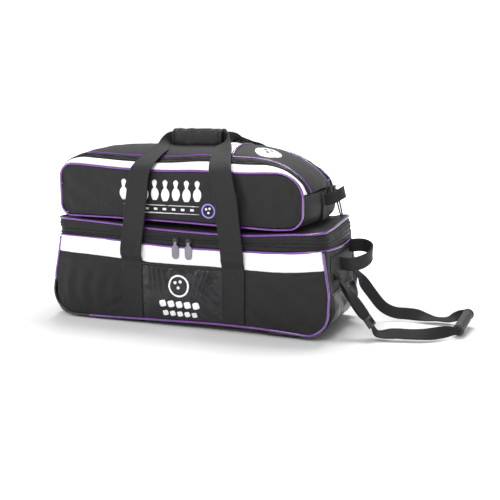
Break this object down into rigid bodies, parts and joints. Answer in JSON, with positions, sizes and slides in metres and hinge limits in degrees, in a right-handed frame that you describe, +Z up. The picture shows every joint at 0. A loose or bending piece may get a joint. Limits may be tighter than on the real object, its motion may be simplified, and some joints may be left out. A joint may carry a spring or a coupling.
{
  "type": "bowling ball bag",
  "caption": "Wheeled bowling tote with a zipped ball compartment, a removable shoe bag on its lid, webbing carrying handles and a pull strap with a tube grip.",
  "frame": {"origin": "centre of the base panel's underside", "axes": "+X along the bag towards the pull strap's end, -Y to the front with the mesh pocket and zip pulls, +Z up; the floor is 8 mm below the origin"},
  "size_m": [0.9668, 0.2776, 0.449],
  "materials": {
    "black_fabric": "padded woven polyester",
    "white_fabric": "bright coated polyester",
    "purple_piping": "glossy vinyl cord",
    "black_webbing": "ribbed nylon webbing",
    "zip_tape": "zip tape with nylon coil",
    "pocket_mesh": "open mesh with a bound top edge",
    "wrap_padding": "padded fabric",
    "tray_foam": "dense moulded foam",
    "divider_pad": "foam-filled lining",
    "base_plastic": "corrugated board",
    "black_plastic": "moulded, fine grain",
    "wheel_tyre": "smooth urethane",
    "foot_rubber": "matte",
    "grip_rubber": "soft matte tube",
    "steel": "plain",
    "grey_metal": "satin lacquer",
    "hook_tape": "hook and loop",
    "zip_cord": "braided cord"
  },
  "bodies": {
    "ball_bag": {"lower_front_panel": "black_fabric", "lower_back_panel": "black_fabric", "white_bands": "white_fabric", "left_end_panel": "black_fabric", "right_end_panel": "black_fabric", "base_panel": "black_fabric", "body_piping": "purple_piping", "rim_piping": "purple_piping", "base_board": "base_plastic", "ball_tray": "tray_foam", "ball_dividers": "divider_pad", "lower_zip_tape": "zip_tape", "lid_hinge_base": "zip_tape", "mesh_pocket": "pocket_mesh", "handle_tails": "black_webbing", "wheel_housing": "black_plastic", "wheel_axles": "steel", "foot_strip": "black_plastic", "rubber_feet": "foot_rubber", "base_screws": "steel", "end_pocket": "black_fabric", "end_anchors": "black_webbing"},
    "front_wheel": {"front_wheel_tyre": "wheel_tyre", "front_wheel_hub": "black_plastic"},
    "rear_wheel": {"rear_wheel_tyre": "wheel_tyre", "rear_wheel_hub": "black_plastic"},
    "lid": {"lid_band": "black_fabric", "lid_panel": "black_fabric", "lid_piping": "purple_piping", "upper_zip_tape": "zip_tape", "lid_hinge_strip": "zip_tape", "lid_hook_tape": "hook_tape"},
    "shoe_bag": {"shoe_front_panel": "black_fabric", "shoe_back_panel": "black_fabric", "shoe_panel_piping": "purple_piping", "shoe_zip_bands": "zip_tape", "shoe_top_panel": "black_fabric", "shoe_white_pieces": "white_fabric", "shoe_end_panels": "black_fabric", "shoe_base_panel": "black_fabric", "shoe_top_piping": "purple_piping", "shoe_end_webbing": "black_webbing", "shoe_zip_sliders": "black_plastic", "shoe_loop_tape": "hook_tape"},
    "front_handle": {"front_handle": "black_webbing", "grip_wrap": "wrap_padding"},
    "rear_handle": {"rear_handle": "black_webbing"},
    "left_slider": {"left_zip_slider": "grey_metal"},
    "left_pull": {"left_zip_pull": "grey_metal"},
    "right_slider": {"right_zip_slider": "grey_metal"},
    "right_pull": {"right_zip_pull": "grey_metal"},
    "end_grab_loop": {"grab_loop": "black_webbing"},
    "shoe_grab_loop": {"shoe_grab_loop": "black_webbing"},
    "strap_ring": {"strap_ring": "steel"},
    "front_zip_cord": {"front_zip_cord": "zip_cord"},
    "rear_zip_cord": {"rear_zip_cord": "zip_cord"},
    "upper_pull_strap": {"pull_strap_upper": "black_webbing"},
    "lower_pull_strap": {"pull_strap_lower": "black_webbing"},
    "pull_grip": {"pull_grip": "grip_rubber"},
    "strap_adjuster": {"strap_adjuster": "black_plastic"}
  },
  "joints": [
    {"name": "front_wheel_spin", "type": "hinge", "parent": "ball_bag", "child": "front_wheel", "pos_m": [-0.321, -0.092, 0.024], "axis": [0, 1, 0], "continuous": true},
    {"name": "rear_wheel_spin", "type": "hinge", "parent": "ball_bag", "child": "rear_wheel", "pos_m": [-0.321, 0.092, 0.024], "axis": [0, 1, 0], "continuous": true},
    {"name": "lid_open", "type": "hinge", "parent": "ball_bag", "child": "lid", "pos_m": [0, 0.127, 0.194], "axis": [-1, 0, 0], "range_deg": [0, 95]},
    {"name": "shoe_bag_slide", "type": "slide", "parent": "lid", "child": "shoe_bag", "axis": [-1, 0, 0], "range_m": [0, 0.65]},
    {"name": "front_handle_drop", "type": "hinge", "parent": "ball_bag", "child": "front_handle", "pos_m": [0, -0.1293, 0.1395], "axis": [1, 0, 0], "range_deg": [0, 128]},
    {"name": "rear_handle_drop", "type": "hinge", "parent": "ball_bag", "child": "rear_handle", "pos_m": [0, 0.1293, 0.1395], "axis": [-1, 0, 0], "range_deg": [0, 128]},
    {"name": "left_zip_slide", "type": "slide", "parent": "ball_bag", "child": "left_slider", "axis": [-1, 0, 0], "range_m": [0, 0.259]},
    {"name": "left_pull_swing", "type": "hinge", "parent": "left_slider", "child": "left_pull", "pos_m": [-0.016, -0.1306, 0.194], "axis": [0, 1, 0], "range_deg": [-5, 100]},
    {"name": "right_zip_slide", "type": "slide", "parent": "ball_bag", "child": "right_slider", "axis": [1, 0, 0], "range_m": [0, 0.259]},
    {"name": "right_pull_swing", "type": "hinge", "parent": "right_slider", "child": "right_pull", "pos_m": [0.016, -0.1306, 0.194], "axis": [0, -1, 0], "range_deg": [-5, 100]},
    {"name": "grab_loop_flop", "type": "hinge", "parent": "ball_bag", "child": "end_grab_loop", "pos_m": [0.34, 0.035, 0.158], "axis": [0, -0.9511, -0.309], "range_deg": [-40, 40]},
    {"name": "shoe_grab_loop_flop", "type": "hinge", "parent": "shoe_bag", "child": "shoe_grab_loop", "pos_m": [0.2988, 0.014, 0.276], "axis": [0, -1, 0], "range_deg": [-40, 35]},
    {"name": "strap_ring_swing", "type": "hinge", "parent": "shoe_bag", "child": "strap_ring", "pos_m": [0.3006, 0, 0.312], "axis": [0, 1, 0], "range_deg": [-5, 75]},
    {"name": "front_cord_swing", "type": "hinge", "parent": "shoe_bag", "child": "front_zip_cord", "pos_m": [0.29734, 0.068, 0.3], "axis": [-1, 0, 0], "range_deg": [-8, 30]},
    {"name": "rear_cord_swing", "type": "hinge", "parent": "shoe_bag", "child": "rear_zip_cord", "pos_m": [0.29414, 0.084, 0.3], "axis": [1, 0, 0], "range_deg": [-8, 45]},
    {"name": "pull_strap_lift", "type": "hinge", "parent": "ball_bag", "child": "upper_pull_strap", "pos_m": [0.341, 0, 0.125], "axis": [0, -1, 0], "range_deg": [0, 76]},
    {"name": "pull_strap_straighten", "type": "hinge", "parent": "upper_pull_strap", "child": "lower_pull_strap", "pos_m": [0.432, 0, 0.004], "axis": [0, 1, 0], "range_deg": [0, 51.63]},
    {"name": "pull_grip_spin", "type": "hinge", "parent": "lower_pull_strap", "child": "pull_grip", "pos_m": [0.588, 0.014, 0.0065], "axis": [0.1226, 0.9806, 0.1532], "continuous": true},
    {"name": "strap_adjuster_slide", "type": "slide", "parent": "upper_pull_strap", "child": "strap_adjuster", "axis": [-0.6011, 0, 0.7992], "range_m": [0, 0.085]}
  ],
  "couplings": [
    {"joint": "front_handle_drop", "follows": "lid_open", "ratio": 1.3473},
    {"joint": "rear_handle_drop", "follows": "lid_open", "ratio": 1.3473},
    {"joint": "pull_strap_straighten", "follows": "pull_strap_lift", "ratio": 0.6794}
  ]
}
